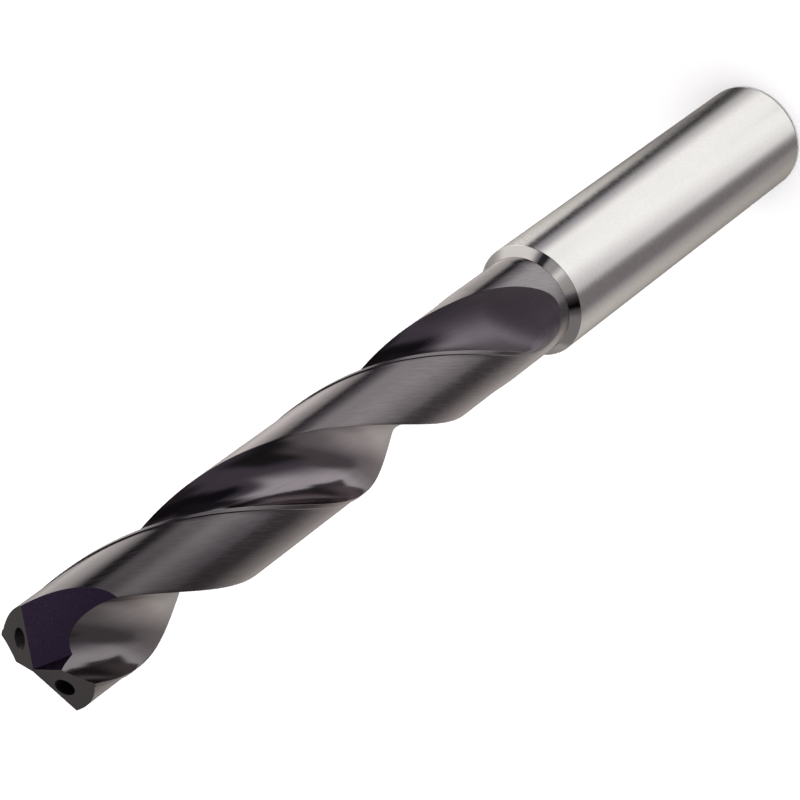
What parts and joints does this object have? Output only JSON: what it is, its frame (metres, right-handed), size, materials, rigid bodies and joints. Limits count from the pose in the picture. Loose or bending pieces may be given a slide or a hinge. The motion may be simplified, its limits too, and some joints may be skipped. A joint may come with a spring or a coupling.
{
  "type": "carbide jobber drill",
  "caption": "Right-hand solid carbide twist drill with helical flutes, web-thinned point, coolant channels through to the shank end, and a plain round shank thicker than the body.",
  "frame": {"origin": "centre of the flat end face of the shank, on the drill's axis", "axes": "+Z along the axis from the shank's end to the point; the outer corners of both lips lie on the X axis"},
  "size_m": [0.012, 0.012, 0.118],
  "materials": {
    "carbide": "violet-grey coating with fine grinding marks on the cutting body, bright ground shank"
  },
  "bodies": {
    "root": {"drill": "carbide"}
  },
  "joints": []
}
